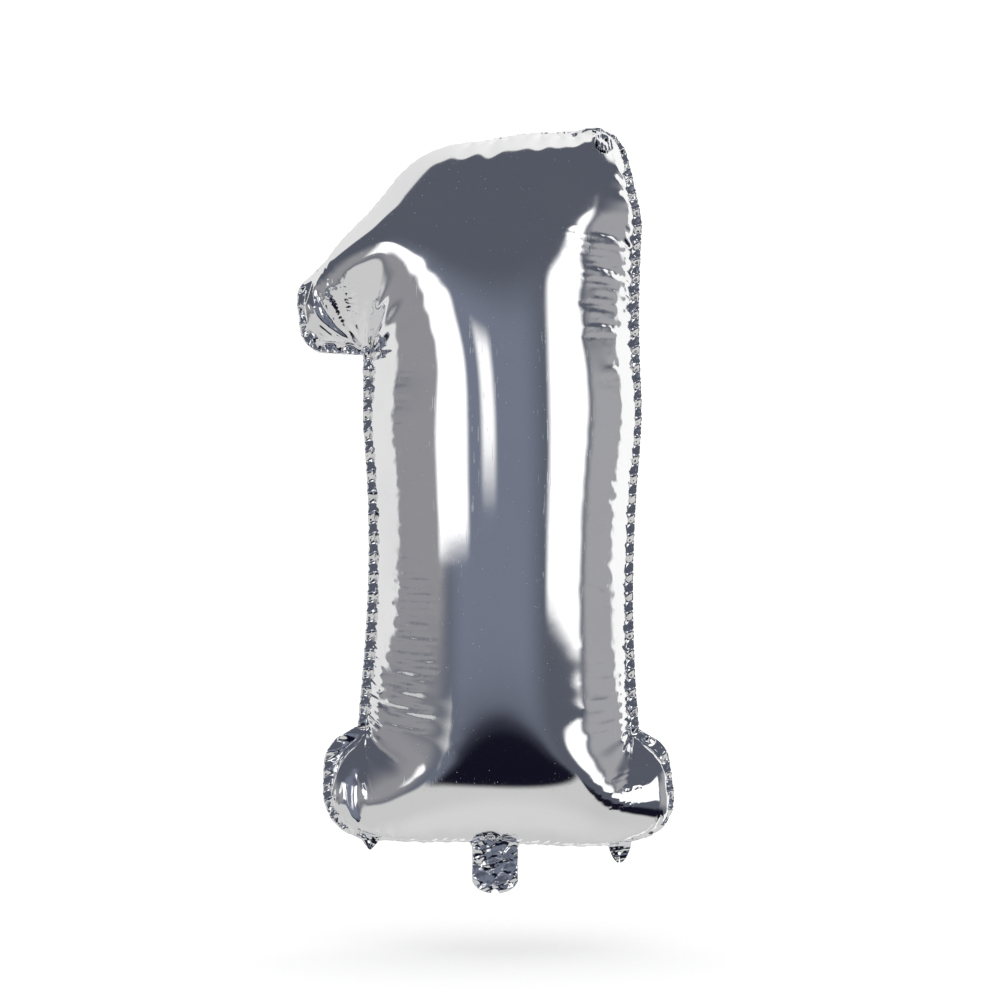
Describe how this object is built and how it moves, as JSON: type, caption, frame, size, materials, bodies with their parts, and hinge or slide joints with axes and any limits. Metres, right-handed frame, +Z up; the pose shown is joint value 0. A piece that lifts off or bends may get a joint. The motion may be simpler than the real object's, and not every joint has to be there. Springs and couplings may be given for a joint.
{
  "type": "foil number balloon",
  "caption": "Silver foil balloon shaped like the digit 1, two films bonded at a flat seam, with a filling neck, a self-closing valve and hanging tabs.",
  "frame": {"origin": "centre of the filling mouth, in the seam plane", "axes": "+X to the digit's right as read, +Y to the back, +Z up the digit; the seam plane is Y = 0"},
  "size_m": [0.3658, 0.24, 0.7247],
  "materials": {
    "foil": "mirror-bright vacuum-metallised film, creased at the seam",
    "valve_film": "clear polyethylene film, lightly frosted"
  },
  "bodies": {
    "balloon": {"front_panel": "foil", "back_panel": "foil"},
    "neck": {"neck_front_ply": "foil", "neck_back_ply": "foil", "valve_inlet_sleeve": "valve_film"},
    "valve_front": {"valve_front_film": "valve_film"},
    "valve_back": {"valve_back_film": "valve_film"},
    "tab_top": {"hanging_tab_top": "foil"},
    "tab_left": {"hanging_tab_left": "foil"},
    "tab_right": {"hanging_tab_right": "foil"}
  },
  "joints": [
    {"name": "neck_bend", "type": "hinge", "parent": "balloon", "child": "neck", "pos_m": [0, 0, 0.0405], "axis": [1, 0, 0], "range_deg": [-90, 90], "stiffness_Nm_per_rad": 0.0005},
    {"name": "valve_front_open", "type": "hinge", "parent": "balloon", "child": "valve_front", "pos_m": [0, -0.00042, 0.048], "axis": [1, 0, 0], "range_deg": [0, 10], "stiffness_Nm_per_rad": 0.001},
    {"name": "valve_back_open", "type": "hinge", "parent": "balloon", "child": "valve_back", "pos_m": [0, 0.00042, 0.048], "axis": [1, 0, 0], "range_deg": [-10, 0], "stiffness_Nm_per_rad": 0.001},
    {"name": "tab_top_flap", "type": "hinge", "parent": "balloon", "child": "tab_top", "pos_m": [0.10804, 0, 0.72102], "axis": [0.9135, 0, -0.4067], "range_deg": [-236, 0], "stiffness_Nm_per_rad": 0.00004},
    {"name": "tab_left_flap", "type": "hinge", "parent": "balloon", "child": "tab_left", "pos_m": [-0.12077, 0, 0.04188], "axis": [0.9455, 0, -0.3256], "range_deg": [-27, 183], "stiffness_Nm_per_rad": 0.00004},
    {"name": "tab_right_flap", "type": "hinge", "parent": "balloon", "child": "tab_right", "pos_m": [0.11968, 0, 0.03603], "axis": [0.9994, 0, -0.0349], "range_deg": [-73, 137], "stiffness_Nm_per_rad": 0.00004}
  ],
  "couplings": [
    {"joint": "valve_back_open", "follows": "valve_front_open", "ratio": -1}
  ]
}
